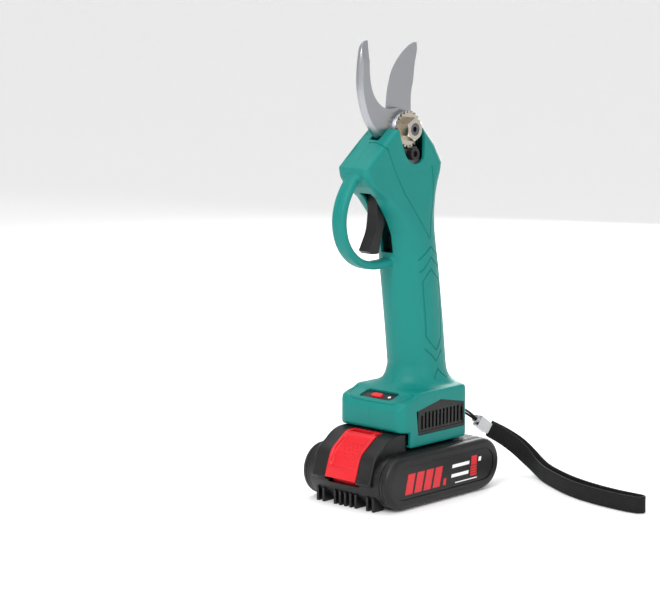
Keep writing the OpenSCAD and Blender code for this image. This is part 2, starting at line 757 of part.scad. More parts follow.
// Nickel straps that join the cells' ends
module cell_straps() {
  color(steel) for (s = [-1, 1], i = [0, 1]) {
    x = (s > 0 ? -2 : -1) * cell_pitch + i * 2 * cell_pitch;
    translate([x - 4, s * 32.75 - 0.15, 9.6]) cube([cell_pitch + 8, 0.3, 6]);
  }
}
module pack_board() {
  color("#1f6b3a") translate([-28, -22, 24]) cube([66, 44, 1.6]);
  color(black) for (x = [-22, -9, 4]) translate([x, -8, 25.6]) cube([9, 16, 2.4]);
}
// Spring clips that grip the tool's blades
module pack_terminals() {
  color(brass) for (y = [-12 : 6 : 12]) {
    for (s = [-1, 1]) translate([17.2, y + s * 0.56 - 0.11, 38.4]) cube([6, 0.22, 6.4]);
    translate([17.2, y - 0.67, 37.9]) cube([6, 1.34, 0.5]);
    translate([19.4, y - 0.6, 25.6]) cube([1.6, 1.2, 12.3]);
  }
}
// Round inlet for the charger's plug, opening upwards on the deck
socket_r = 2.8;
module charge_socket() {
  color(black) translate([-17, 0, 0]) difference() {
    union() {
      translate([0, 0, 32]) cylinder(r = 3.8, h = 14.05);
      translate([-5, -5, 28.6]) cube([10, 10, 3.9]);
    }
    translate([0, 0, 36.05]) cylinder(r = socket_r, h = 11);
  }
}

// Red latch: finger pad over the front of the hump, hook bar behind it
module latch_button() {
  color(red) difference() {
    union() {
      slab(-13, 13) polygon([[-59.6, 18.6], [-58.2, 22.9], [-54.2, 34.9], [-41.8, 43.9],
        [-38.8, 45.4], [-37.6, 43.4], [-51.6, 32.8], [-55.6, 20.4]]);
      for (s = [-1, 1]) translate([-39.6, s * 10.6 - 1.6, 42.6]) cube([7.4, 3.2, 3.4]);
      translate([-34.6, -12.2, 42.6]) cube([2.4, 24.4, 3.4]);
    }
    // finger hollow with a raised rim round it
    slab(-10.4, 10.4) polygon([[-58.6, 24.6], [-54.6, 36], [-44, 44], [-44.6, 42.2], [-52.9, 35.6],
      [-56.8, 24.6]]);
  }
}
module latch_springs() {
  color(steel) for (y = [-9, 9]) translate([-45.4, y, 29.4]) difference() {
    cylinder(r = 2, h = 6.2);
    translate([0, 0, -1]) cylinder(r = 1.3, h = 10);
  }
}

// ---- wrist strap ----------------------------------------------------------------------------

// String: crimp, in by one hole of the foot's back wall, out by the other, and back to the crimp
string_r = 0.8;
string_points = [[63, -10.8, 41], [57.5, -10, 45.4], [50, -9, 50], [43, -8, 53.6], [37, -7.5, 55.4],
  [31, -7.5, 55.5], [28.4, -6.6, 55.5], [27.6, -5, 55.5], [28.4, -3.4, 55.5], [31, -2.5, 55.5],
  [37, -2.6, 55.2], [43, -3.8, 52.8], [50, -5.8, 48.8], [57.5, -7.8, 44.2], [63, -8.8, 40.6]];
// Webbing: out along the surface and back beside itself
web_points = [[76, -12.4, 31.6], [84, -18.6, 25.4], [90, -25, 18.6], [92.4, -33, 11.4],
  [89.4, -43, 7], [83, -54, 5.7], [75, -68, 5.7], [67, -84, 5.7], [61.4, -100, 5.7],
  [58.2, -116, 5.7], [56.8, -130, 5.7], [56.6, -141, 5.7], [58, -147.6, 5.7], [61.4, -149.6, 5.7],
  [64.4, -146.6, 5.7], [64.6, -139, 5.7], [64.8, -128, 5.7], [66.4, -114, 5.7], [70, -98, 5.7],
  [75.4, -82, 5.7], [83, -66, 5.7], [91, -52, 5.7], [97, -41, 7.2], [99, -31, 11.8],
  [96, -22, 19], [88.6, -15, 25.8], [79, -9.4, 31.8]];

// Rings of a round cord across its route
function cord_rings(p, r, sides) = [
  for (i = [0 : len(p) - 1]) let (h = heading(p, i), a = unit(cross(h, [0, 0, 1])), b = cross(a, h))
    [for (k = [0 : sides - 1]) p[i] + r * cos(k * 360 / sides) * a + r * sin(k * 360 / sides) * b]];
// Rings of a flat band that stands on edge
function band_rings(p, w, t) = [
  for (i = [0 : len(p) - 1]) let (h = heading(p, i), a = unit(cross(h, [0, 0, 1])), b = cross(a, h))
    [p[i] + a * t / 2 - b * w / 2, p[i] + a * t / 2 + b * w / 2,
     p[i] - a * t / 2 + b * w / 2, p[i] - a * t / 2 - b * w / 2]];

module strap_string() {
  color(black) skin(cord_rings(smooth(string_points, 2), string_r, 8));
}
module strap_webbing() {
  color(black) skin(band_rings(smooth(web_points, 2), web_w, web_t));
}
module strap_crimp() {
  color(steel) translate([63.2, -9.8, 40.9]) rotate([0, 0, -6]) rotate([0, 126, 0]) {
    cylinder(r = 2.6, h = 3);
    translate([0, 0, 3]) linear_extrude(11.6) square([7.4, 5.2], center = true);
  }
}

housing_left();
housing_right();
housing_screws();
vent_grille_left();
vent_grille_right();
control_panel();
status_light();
power_button();
control_board();
terminal_block();
terminal_blades();
blade_frame();
fixed_blade();
moving_blade();
sector_gear();
sector_screws();
pivot_bolt();
pivot_bush();
pivot_washer();
toothed_disc();
pivot_nut();
lock_plate();
lock_screw();
tang_screws();
drive_pinion();
pinion_bearing();
gearbox_case();
motor_can();
motor_magnets();
motor_rotor();
motor_end_cap();
trigger();
trigger_pin();
trigger_spring();
trigger_switch();
pack_case();
pack_cap_left();
pack_cap_right();
pack_label_left();
pack_label_right();
pack_screws();
pack_cells();
cell_straps();
pack_board();
pack_terminals();
charge_socket();
latch_button();
latch_springs();
strap_string();
strap_crimp();
strap_webbing();
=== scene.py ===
"""The finished look of a battery pruner: moulded housing, ground blades, pack and wrist strap."""

import json
import math

import bmesh
import bpy
from mathutils import Matrix, Vector
from mathutils.bvhtree import BVHTree

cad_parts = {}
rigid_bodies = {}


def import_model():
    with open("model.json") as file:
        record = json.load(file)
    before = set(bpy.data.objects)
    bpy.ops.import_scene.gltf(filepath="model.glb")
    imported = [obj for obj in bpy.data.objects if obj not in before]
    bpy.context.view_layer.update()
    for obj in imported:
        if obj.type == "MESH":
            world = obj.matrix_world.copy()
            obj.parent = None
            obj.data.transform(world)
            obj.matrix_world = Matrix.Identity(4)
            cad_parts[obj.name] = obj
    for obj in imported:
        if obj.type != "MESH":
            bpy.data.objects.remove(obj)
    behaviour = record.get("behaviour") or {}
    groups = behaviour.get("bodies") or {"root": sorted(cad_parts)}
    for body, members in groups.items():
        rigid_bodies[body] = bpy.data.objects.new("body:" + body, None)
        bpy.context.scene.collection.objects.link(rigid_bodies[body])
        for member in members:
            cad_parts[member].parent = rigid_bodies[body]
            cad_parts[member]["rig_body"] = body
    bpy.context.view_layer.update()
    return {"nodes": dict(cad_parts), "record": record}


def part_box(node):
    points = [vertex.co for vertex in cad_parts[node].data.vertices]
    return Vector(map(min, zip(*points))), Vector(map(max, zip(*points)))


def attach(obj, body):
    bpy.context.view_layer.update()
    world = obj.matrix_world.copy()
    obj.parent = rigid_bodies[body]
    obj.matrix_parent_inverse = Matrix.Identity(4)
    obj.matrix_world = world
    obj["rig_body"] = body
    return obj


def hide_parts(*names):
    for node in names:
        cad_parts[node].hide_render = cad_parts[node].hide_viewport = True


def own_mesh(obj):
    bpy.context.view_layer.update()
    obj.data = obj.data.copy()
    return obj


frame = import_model()
MM = 0.001


# ---- camera, light and surroundings ---------------------------------------------------------

def add_camera():
    """A long lens in front and to the left of the tool, a little above it."""
    camera = bpy.data.objects.new("camera", bpy.data.cameras.new("camera"))
    camera.location = (-1.0511, -0.9257, 0.3444)
    camera.rotation_euler = (math.radians(81.22), 0, math.radians(-46.71))
    camera.data.lens = 119.24
    camera.data.sensor_width = 36
    camera.data.clip_start = 0.05
    bpy.context.scene.collection.objects.link(camera)
    bpy.context.scene.camera = camera


def add_light(name, place, target, power, width, height):
    """A soft box at place that points at target."""
    light = bpy.data.objects.new(name, bpy.data.lights.new(name, "AREA"))
    light.data.shape = "RECTANGLE"
    light.data.size = width
    light.data.size_y = height
    light.data.energy = power
    light.location = place
    aim = Vector(target) - Vector(place)
    light.rotation_euler = aim.to_track_quat("-Z", "Y").to_euler()
    bpy.context.scene.collection.objects.link(light)


def add_world(strength):
    """Even pale surroundings."""
    world = bpy.data.worlds.new("surroundings")
    world.use_nodes = True
    back = world.node_tree.nodes["Background"]
    back.inputs["Color"].default_value = (1, 1, 1, 1)
    back.inputs["Strength"].default_value = strength
    bpy.context.scene.world = world


add_camera()
bpy.context.scene.view_settings.view_transform = "Standard"
MIDDLE = (0, 0, 0.14)
add_light("key", (-1.0, -0.35, 1.0), MIDDLE, 12, 0.7, 0.9)
add_light("fill", (-0.2, -1.5, 0.5), MIDDLE, 4, 1.0, 0.8)
add_light("rim", (1.1, 0.5, 0.7), MIDDLE, 12, 0.5, 1.2)
add_light("top", (0, 0.3, 1.5), MIDDLE, 8, 1.2, 1.2)
add_world(0.7)


# ---- materials --------------------------------------------------------------------------------

def tone(red, green, blue):
    """A colour from its 0 to 255 screen values."""
    def line(value):
        share = value / 255
        return share / 12.92 if share <= 0.04045 else ((share + 0.055) / 1.055) ** 2.4
    return (line(red), line(green), line(blue), 1)


# Patches of slightly different tone, in each metre of a surface
PATCHES = 60
DENT_DEPTH = 0.2 * MM


def surface(name, colour, rough, metal=0.0, grain=2500, stretch=(1, 1, 1), bump=0.12, vary=0.06,
            specular=0.5):
    """A material with a fine grain that dents the surface and a slow change of tone over it."""
    made = bpy.data.materials.new(name)
    made.use_nodes = True
    nodes = made.node_tree.nodes
    link = made.node_tree.links.new
    shader = nodes["Principled BSDF"]
    shader.inputs["Metallic"].default_value = metal
    shader.inputs["Specular IOR Level"].default_value = specular
    place = nodes.new("ShaderNodeTexCoord")
    turn = nodes.new("ShaderNodeMapping")
    turn.inputs["Scale"].default_value = stretch
    link(place.outputs["Object"], turn.inputs["Vector"])
    fine = nodes.new("ShaderNodeTexNoise")
    fine.inputs["Scale"].default_value = grain
    fine.inputs["Detail"].default_value = 2
    link(turn.outputs["Vector"], fine.inputs["Vector"])
    dent = nodes.new("ShaderNodeBump")
    dent.inputs["Strength"].default_value = bump
    dent.inputs["Distance"].default_value = DENT_DEPTH
    link(fine.outputs["Fac"], dent.inputs["Height"])
    link(dent.outputs["Normal"], shader.inputs["Normal"])
    slow = nodes.new("ShaderNodeTexNoise")
    slow.inputs["Scale"].default_value = PATCHES
    link(turn.outputs["Vector"], slow.inputs["Vector"])
    mix = nodes.new("ShaderNodeMix")
    mix.data_type = "RGBA"
    mix.inputs["A"].default_value = [c * (1 - vary) for c in colour[:3]] + [1]
    mix.inputs["B"].default_value = [min(c * (1 + vary), 1) for c in colour[:3]] + [1]
    link(slow.outputs["Fac"], mix.inputs["Factor"])
    link(mix.outputs["Result"], shader.inputs["Base Color"])
    level = nodes.new("ShaderNodeMapRange")
    level.inputs["To Min"].default_value = max(rough - 0.05, 0.03)
    level.inputs["To Max"].default_value = rough + 0.05
    link(fine.outputs["Fac"], level.inputs["Value"])
    link(level.outputs["Result"], shader.inputs["Roughness"])
    return made


def woven():
    """Webbing: slanting ribs across the band, laid out along its own UV map in millimetres."""
    made = surface("woven_band", tone(12, 12, 13), 0.8, vary=0.2, specular=0.3)
    nodes = made.node_tree.nodes
    link = made.node_tree.links.new
    along = nodes.new("ShaderNodeUVMap")
    along.uv_map = "band"
    ribs = nodes.new("ShaderNodeTexWave")
    ribs.bands_direction = "DIAGONAL"
    ribs.inputs["Scale"].default_value = 0.35
    ribs.inputs["Distortion"].default_value = 0.6
    link(along.outputs["UV"], ribs.inputs["Vector"])
    dent = nodes["Bump"]
    dent.inputs["Strength"].default_value = 0.7
    dent.inputs["Distance"].default_value = 1.5 * DENT_DEPTH
    link(ribs.outputs["Fac"], dent.inputs["Height"])
    return made


def make_materials():
    """One material for each slot of the record, by slot name."""
    return {
        "teal_shell": surface("teal", tone(6, 119, 112), 0.46, grain=3500, bump=0.12, vary=0.04,
                              specular=0.25),
        "black_plastic": surface("black", tone(13, 13, 14), 0.42, grain=3200, bump=0.16,
                                 specular=0.35),
        "red_plastic": surface("red", tone(206, 20, 32), 0.38, bump=0.06, vary=0.04,
                               specular=0.35),
        "light": surface("lens", tone(236, 240, 238), 0.25, bump=0.03, vary=0.02),
        "label": surface("panel", tone(12, 12, 13), 0.38, bump=0.04, specular=0.35),
        "board": surface("board", tone(24, 92, 52), 0.5),
        "cell_wrap": surface("sleeve", tone(56, 104, 170), 0.4),
        "blade_steel": surface("ground_steel", tone(162, 164, 168), 0.3, 1.0, 1400,
                               (0.08, 1, 1.4), 0.12, 0.05),
        "bright_steel": surface("bright_steel", tone(172, 172, 174), 0.28, 1.0, bump=0.05),
        "dark_steel": surface("dark_steel", tone(104, 106, 110), 0.4, 1.0, bump=0.1),
        "nickel": surface("nickel", tone(196, 188, 174), 0.24, 1.0, bump=0.05),
        "cast_alloy": surface("cast", tone(158, 160, 163), 0.5, 1.0, 1600, bump=0.3),
        "brass": surface("brass", tone(196, 160, 92), 0.3, 1.0, bump=0.05),
        "magnet": surface("ferrite", tone(58, 58, 60), 0.6),
        "copper": surface("copper", tone(176, 104, 70), 0.4, 1.0),
        "black_screw": surface("black_oxide", tone(46, 46, 49), 0.35, 0.6, bump=0.05),
        "webbing": woven(),
        "string": surface("braid", tone(26, 26, 29), 0.7, grain=1800, bump=0.5, specular=0.3),
    }


materials = make_materials()
red_graphic = surface("red_graphic", tone(200, 18, 30), 0.4, bump=0.03)
white_graphic = surface("white_graphic", tone(232, 232, 230), 0.4, bump=0.03, vary=0.02)


# ---- making pieces ----------------------------------------------------------------------------

def turn_outwards(mesh):
    """Merges doubled points and faces every side outwards."""
    work = bmesh.new()
    work.from_mesh(mesh)
    bmesh.ops.remove_doubles(work, verts=work.verts, dist=0.00001)
    bmesh.ops.recalc_face_normals(work, faces=work.faces)
    work.to_mesh(mesh)
    work.free()


def new_piece(name, mesh):
    """A mesh as a piece of the scene, at its origin."""
    piece = bpy.data.objects.new(name, mesh)
    bpy.context.scene.collection.objects.link(piece)
    return piece


def mesh_piece(name, points, faces):
    """A piece from points in millimetres."""
    mesh = bpy.data.meshes.new(name)
    mesh.from_pydata([[c * MM for c in p] for p in points], [], faces)
    turn_outwards(mesh)
    return new_piece(name, mesh)


def joined(name, parts):
    """Closed parts put together as one piece."""
    work = bmesh.new()
    for part in parts:
        work.from_mesh(part.data)
        bpy.data.objects.remove(part)
    mesh = bpy.data.meshes.new(name)
    work.to_mesh(mesh)
    work.free()
    return new_piece(name, mesh)


def skin(name, rings):
    """A closed piece through rings of as many points each."""
    count = len(rings[0])
    points = [p for ring in rings for p in ring]
    faces = [[k * count + i, k * count + (i + 1) % count, (k + 1) * count + (i + 1) % count,
              (k + 1) * count + i] for k in range(len(rings) - 1) for i in range(count)]
    faces.append(list(range(count))[::-1])
    faces.append([len(points) - count + i for i in range(count)])
    return mesh_piece(name, points, faces)


def slab(name, outline, low, high):
    """An outline in X and Z, between two values of Y."""
    return skin(name, [[(x, y, z) for x, z in outline] for y in (low, high)])


def block(name, low, high):
    """A box between two corners."""
    outline = [(low[0], low[2]), (high[0], low[2]), (high[0], high[2]), (low[0], high[2])]
    return slab(name, outline, low[1], high[1])


def circle(x, z, r, steps=32):
    """A round outline."""
    return [(x + r * math.cos(math.tau * i / steps), z + r * math.sin(math.tau * i / steps))
            for i in range(steps)]


def rounded(low, high, r, steps=6):
    """An outline with four round corners."""
    corners = ((high[0] - r, high[1] - r, 0), (low[0] + r, high[1] - r, 90),
               (low[0] + r, low[1] + r, 180), (high[0] - r, low[1] + r, 270))
    turns = [(x, y, math.radians(a + 90 * i / steps)) for x, y, a in corners
             for i in range(steps + 1)]
    return [(x + r * math.cos(a), y + r * math.sin(a)) for x, y, a in turns]


def smooth(line, steps):
    """A smooth curve through the points of an open line."""
    made = []
    for i in range(len(line) - 1):
        before = line[max(i - 1, 0)]
        after = line[min(i + 2, len(line) - 1)]
        for k in range(steps):
            t = k / steps
            made.append(tuple(
                0.5 * (2 * b + (c - a) * t + (2 * a - 5 * b + 4 * c - d) * t ** 2
                       + (3 * b - a - 3 * c + d) * t ** 3)
                for a, b, c, d in zip(before, line[i], line[i + 1], after)))
    return made + [tuple(line[-1])]


def applied(piece):
    """The piece with its modifiers made permanent."""
    graph = bpy.context.evaluated_depsgraph_get()
    graph.update()
    mesh = bpy.data.meshes.new_from_object(piece.evaluated_get(graph))
    piece.modifiers.clear()
    piece.data = mesh
    return piece


def combined(piece, tools, kind):
    """The piece after a union with the tools, their difference or what it shares with them."""
    for tool in tools:
        step = piece.modifiers.new("step", "BOOLEAN")
        step.operation = kind
        step.solver = "MANIFOLD"
        step.object = tool
    applied(piece)
    for tool in tools:
        bpy.data.objects.remove(tool)
    return piece


def cut(piece, *tools):
    """The piece without what the tools take away."""
    return combined(piece, tools, "DIFFERENCE")


def soft_edges(piece, width, segments=3, angle=35):
    """A rounded edge wherever two sides meet sharply."""
    edge = piece.modifiers.new("edge", "BEVEL")
    edge.width = width * MM
    edge.segments = segments
    edge.limit_method = "ANGLE"
    edge.angle_limit = math.radians(angle)
    edge.harden_normals = True
    piece.data.shade_smooth()
    return piece


def shade(piece, angle=35):
    """Smooth shading that stops at sharp edges."""
    piece.data.shade_smooth()
    piece.data.set_sharp_from_angle(angle=math.radians(angle))
    return piece


def paint(piece, material):
    """One material over the whole piece."""
    piece.data.materials.clear()
    piece.data.materials.append(material)


def slot_of(node):
    """The record's material slot of a CAD node."""
    rows = frame["record"]["subparts"]
    return next(row["material_slot"] for row in rows if row["node"] == node)


def stand_for(piece, node, *others):
    """The piece moves with a CAD node's body, has its finish and is shown in its place."""
    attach(piece, frame["nodes"][node]["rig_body"])
    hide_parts(node, *others)
    paint(piece, materials[slot_of(node)])
    return piece


def add_to(piece, node, material):
    """An added piece that moves with a CAD node's body."""
    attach(piece, frame["nodes"][node]["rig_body"])
    paint(piece, material)
    return piece


# ---- wrist strap --------------------------------------------------------------------------------

STRING_ROUTE = [(63, -10.8, 41), (57.5, -10, 45.4), (50, -9, 50), (43, -8, 53.6), (37, -7.5, 55.4),
                (31, -7.5, 55.5), (28.4, -6.6, 55.5), (27.6, -5, 55.5), (28.4, -3.4, 55.5),
                (31, -2.5, 55.5), (37, -2.6, 55.2), (43, -3.8, 52.8), (50, -5.8, 48.8),
                (57.5, -7.8, 44.2), (63, -8.8, 40.6)]
WEB_ROUTE = [(76, -12.4, 31.6), (84, -18.6, 25.4), (90, -25, 18.6), (92.4, -33, 11.4),
             (89.4, -43, 7), (83, -54, 5.7), (75, -68, 5.7), (67, -84, 5.7), (61.4, -100, 5.7),
             (58.2, -116, 5.7), (56.8, -130, 5.7), (56.6, -141, 5.7), (58, -147.6, 5.7),
             (61.4, -149.6, 5.7), (64.4, -146.6, 5.7), (64.6, -139, 5.7), (64.8, -128, 5.7),
             (66.4, -114, 5.7), (70, -98, 5.7), (75.4, -82, 5.7), (83, -66, 5.7), (91, -52, 5.7),
             (97, -41, 7.2), (99, -31, 11.8), (96, -22, 19), (88.6, -15, 25.8), (79, -9.4, 31.8)]
WEB_W = 10.6
WEB_T = 1.6
STRING_R = 0.8


def route_frames(line):
    """At each point of a line: the point, the level direction across it and the one above that."""
    made = []
    for i, p in enumerate(line):
        ahead = Vector(line[min(i + 1, len(line) - 1)]) - Vector(line[max(i - 1, 0)])
        ahead.normalize()
        level = ahead.cross(Vector((0, 0, 1))).normalized()
        made.append((Vector(p), level, level.cross(ahead)))
    return made


def swept(name, line, section):
    """A piece with the same section, as level and upward offsets, all along a line."""
    return skin(name, [[tuple(p + a * u + b * v) for u, v in section]
                       for p, a, b in route_frames(line)])


def add_string():
    """The thin braided loop through the housing's two holes."""
    line = smooth(STRING_ROUTE, 4)
    piece = swept("strap_loop", line, circle(0, 0, STRING_R, 12))
    stand_for(piece, "strap_string")
    shade(piece, 80)


def add_webbing():
    """The wrist band, a flat strap that stands on its edge on the floor and turns back."""
    line = smooth(WEB_ROUTE, 4)
    edge = rounded((-WEB_T / 2, -WEB_W / 2), (WEB_T / 2, WEB_W / 2), 0.5, 2)
    piece = swept("wrist_band", line, edge)
    stand_for(piece, "strap_webbing")
    layer = piece.data.uv_layers.new(name="band")
    gone = [0.0]
    for a, b in zip(line, line[1:]):
        gone.append(gone[-1] + (Vector(b) - Vector(a)).length)
    for loop in piece.data.loops:
        ring, place = divmod(loop.vertex_index, len(edge))
        layer.data[loop.index].uv = (gone[ring], edge[place][1])
    shade(piece, 50)


add_string()
add_webbing()


# ---- housing ------------------------------------------------------------------------------------

# Height, front, rear, half width, then the front and rear corners: how far back and how far in
LEVELS = ((58, -17, 35.4, 25.6, 12, 12, 7, 7), (70.4, -17, 35.4, 25.6, 12, 12, 7, 7),
          (72.2, -12.6, 35.5, 23, 18, 17, 12, 12), (74.6, -9.8, 35.6, 21, 30, 30, 18, 18),
          (78.6, -7.8, 35.6, 19.3, 30, 30, 30, 30), (85, -6.3, 34.9, 18, 30, 30, 30, 30),
          (116, -9.9, 31.3, 18, 30, 30, 30, 30), (147, -14, 27.1, 18, 30, 30, 30, 30),
          (160, -16, 25.3, 17.4, 30, 30, 30, 30), (172, -17.6, 23.6, 16.5, 18, 15.5, 20, 16),
          (181, -21.5, 22.8, 15.6, 14, 12, 18, 14), (187, -25.5, 22.6, 15, 10, 10, 16, 12.5),
          (196, -32, 23, 14.2, 6, 6.5, 13, 10.5), (204, -43, 24.3, 13.6, 4, 4.5, 10, 8.5),
          (210, -47.5, 25.7, 13.3, 3.5, 4.5, 8, 7), (216, -49, 27.2, 13, 3.5, 4.5, 8, 7),
          (227.8, -34.8, 19.7, 13, 3.5, 4.5, 8, 7), (239.4, -20, 8.4, 13, 3.5, 4.5, 8, 7))
WALL = 2.2
FOOT_LINE = [(-22.6, 36.3), (35.6, 36.3), (35.6, 68), (32, 71.6), (-13, 71.6), (-18, 69.2),
             (-28.4, 66), (-31.6, 61.5), (-31.6, 48.5), (-30, 46.8), (-22.6, 46.8)]
FOOT_ROOM = [(-29.2, 49), (-23, 49), (-23, 35), (33.2, 35), (33.2, 67.4), (31, 69.2),
             (-12, 69.2), (-17, 66.9), (-27.2, 63.7), (-29.2, 61)]
FOOT_HALF = 28
GUARD_LINE = [(-38, 218), (-43, 214), (-47.5, 209.5), (-53, 203), (-57.8, 194), (-60, 183.3),
              (-58, 172), (-52.7, 163.3), (-44, 156.6), (-33.5, 153.4), (-22, 153), (-11, 154)]
GUARD_T = 5.4
GUARD_HALF = 5.2
BOSSES = [(-36.5, 210.5), (18.6, 206), (-11.5, 151), (23.4, 151), (-2, 90), (30.4, 90),
          (-25.5, 55), (29, 63.6)]
NUT_WINDOW = [(-21.5, 246), (-17.6, 236), (-14.6, 228), (-11.5, 221.6), (-8, 218.2),
              (-3.5, 216.6), (1, 216.8), (4.6, 219), (6, 223), (6.2, 246)]
VENT = [(-15.8, 43.9), (-17.5, 59.8), (6.6, 64.7), (29.8, 60), (31.1, 43.8)]
BROW = [(-50, 214), (-23, 214), (-18.6, 222), (-18.6, 240), (-50, 240)]
PANEL_MID = (-21.9, 67.15)
PANEL_TILT = 17.2

# Moulded grooves on both sides of the handle, as X and Z
SIDE_GROOVES = [
    [(-29.2, 227.6), (-22.3, 212.8), (-13.6, 197.6), (-5.9, 187.5), (-0.9, 180.1), (3.3, 174),
     (7.4, 167.8)],
    [(13.2, 214.8), (14.1, 205), (13.7, 192.2), (10.5, 179.6), (8.1, 168.4)],
    [(18.9, 155.3), (11.1, 160.3), (8.1, 162.9), (3.7, 159.8), (-0.2, 156.9), (-3.1, 154.8)],
    [(18.7, 148.2), (11.6, 152.5), (7.6, 156.2), (4.8, 152.6), (1.3, 149), (-1.9, 147)],
    [(17, 140.7), (10.8, 144.8), (7.6, 148.4), (3.8, 144.9), (0.4, 140.6), (1.7, 128.8),
     (3.2, 118.8), (4.4, 104.3), (8.4, 99.3), (13, 94.8), (15.7, 98.4), (18.5, 102.6),
     (18.6, 122), (17, 140.7)],
    [(18.9, 94.6), (16.3, 91.7), (13.1, 87.5), (7.9, 92.7), (3.8, 96.4)],
    [(21.9, 75.7), (17, 79.1), (14.5, 82.7), (12, 79.8), (9.2, 76.2)]]
# Grooves on the sloping front of the head
FRONT_GROOVES = [
    [(-29.2, -13, 227.6), (-31.1, -11.5, 228.1), (-29.9, -7.1, 229), (-29.1, -2.9, 229.7),
     (-29.4, 1.9, 229.4)],
    [(-22.4, 9.2, 234.9), (-25.5, 10.6, 232.5), (-29.9, 10, 229), (-33.6, 9.1, 226.1),
     (-38.1, 9.3, 222.6), (-41.9, 10.1, 219.6)]]
GROOVE_R = 0.65
LIP_GROOVE_R = 0.45
# Longest step of a groove along the skin
GROOVE_STEP = 1.6
# From the middle plane to the edge of each half
PARTING = 0.04


def level_ring(level, inset):
    """The handle's outline at one height, drawn in by inset."""
    z, front, rear, half, *corners = level
    front, rear, half = front + inset, rear - inset, half - inset
    limits = ((rear - front) / 2, half) * 2
    back_f, in_f, back_r, in_r = (max(min(c - inset, most), 1)
                                  for c, most in zip(corners, limits))
    ring = []
    for x, y, a, b, start in ((rear - back_r, half - in_r, back_r, in_r, 0),
                              (front + back_f, half - in_f, back_f, in_f, 90),
                              (front + back_f, in_f - half, back_f, in_f, 180),
                              (rear - back_r, in_r - half, back_r, in_r, 270)):
        for i in range(11):
            t = math.radians(start + 9 * i)
            ring.append((x + a * math.cos(t), y + b * math.sin(t), z))
    return ring


def handle(name, inset):
    """The handle and head as one body."""
    return skin(name, [level_ring(level, inset) for level in LEVELS])


def plan_prism(name, low, high, r):
    """An upright block with round corners in plan."""
    outline = rounded(low, high, r, 8)
    return skin(name, [[(x, y, z) for x, y in outline] for z in (30, 80)])


def foot(name, outline, half, low, high, r):
    """A side outline that is rounded in plan."""
    piece = slab(name, outline, -half, half)
    return combined(piece, [plan_prism("plan", (low, -half), (high, half), r)], "INTERSECT")


def guard():
    """The finger guard: an oval bar along its middle line."""
    line = [(x, 0, z) for x, z in smooth(GUARD_LINE, 5)]
    section = rounded((-GUARD_HALF, -GUARD_T / 2), (GUARD_HALF, GUARD_T / 2), 2.3, 5)
    rings = []
    for i, p in enumerate(line):
        ahead = Vector(line[min(i + 1, len(line) - 1)]) - Vector(line[max(i - 1, 0)])
        out = Vector((ahead.z, 0, -ahead.x)).normalized()
        rings.append([tuple(Vector(p) + Vector((0, u, 0)) + out * v) for u, v in section])
    return skin("guard", rings)


# Size of the faces of the housing's even skin
SKIN_CELL = 0.75 * MM
# What is softened: how often, and from and to what height
SOFTENED = (("foot", 14, 0.03, 0.073), ("flare", 24, 0.0685, 0.084))


def merged(name, parts):
    """Closed parts fused into one even skin, softened where they meet."""
    piece = joined(name, parts)
    even = piece.modifiers.new("even", "REMESH")
    even.mode = "VOXEL"
    even.voxel_size = SKIN_CELL
    applied(piece)
    for group, _, low, high in SOFTENED:
        near = piece.vertex_groups.new(name=group)
        near.add([v.index for v in piece.data.vertices if low < v.co.z < high], 1, "REPLACE")
    for group, times in [("", 4)] + [row[:2] for row in SOFTENED]:
        ease = piece.modifiers.new("ease", "SMOOTH")
        ease.factor = 0.5
        ease.iterations = times
        ease.vertex_group = group
    return applied(piece)


def void():
    """The room inside the housing, around its screw bosses and its solid brow."""
    room = handle("void", WALL)
    half = FOOT_HALF - 2.4
    room = combined(room, [foot("room", FOOT_ROOM, half, -29.2, 33.2, 4.6),
                           slab("head_room", [(-16, 212), (8, 212), (8.1, 239), (-17.5, 239)],
                                -9.4, 11.3)], "UNION")
    posts = [slab("post", circle(x, z, 3.3, 24), -40, 40) for x, z in BOSSES]
    rails = [block("rail", (-25, s * 23.35 - 2.65, 30), (35, s * 23.35 + 2.65, 38.6))
             for s in (-1, 1)]
    return cut(room, slab("brow", BROW, -14, -4.45), *posts, *rails)


def openings():
    """What is cut through both halves."""
    trigger_slot = [(-42, 161), (-13, 159.6), (-12.3, 172), (-13, 186), (-14, 200), (-28, 203),
                    (-34, 199.4), (-42, 199.4)]
    blade_slot = [(-17.5, 224), (-17.5, 250), (30, 250), (8.1, 238), (8.1, 230)]
    mouth = [(-25.5, 229.5), (-34, 238.5), (-34, 250), (-10, 250), (-10, 220)]
    tools = [slab("trigger_slot", trigger_slot, -5, 5), slab("blade_slot", blade_slot, -9.4, 11.3),
             slab("mouth", mouth, -4.45, 3.6)]
    return tools + [skin("hole", [[(x, y + u, 55.5 + v) for u, v in circle(0, 0, 1.6, 20)]
                                  for x in (30, 38)]) for y in (-7.5, -2.5)]


def on_panel(point):
    """A point given across, along and above the control panel, in the tool's own directions."""
    a = math.radians(PANEL_TILT)
    x, y, z = point
    return (PANEL_MID[0] + x * math.cos(a) - z * math.sin(a), y,
            PANEL_MID[1] + x * math.sin(a) + z * math.cos(a))


def panel_slab(name, outline, low, high):
    """An outline on the control panel, between two heights above it."""
    return skin(name, [[on_panel((x, y, z)) for x, y in outline] for z in (low, high)])


def tube(name, line, r):
    """A thin closed tube along points."""
    rings = []
    for i, p in enumerate(line):
        ahead = (line[min(i + 1, len(line) - 1)] - line[max(i - 1, 0)]).normalized()
        side = ahead.cross(Vector((0.3, 1, 0.2))).normalized()
        up = side.cross(ahead)
        rings.append([tuple(p + side * (r * math.cos(math.tau * k / 8))
                            + up * (r * math.sin(math.tau * k / 8))) for k in range(8)])
    return skin(name, rings)


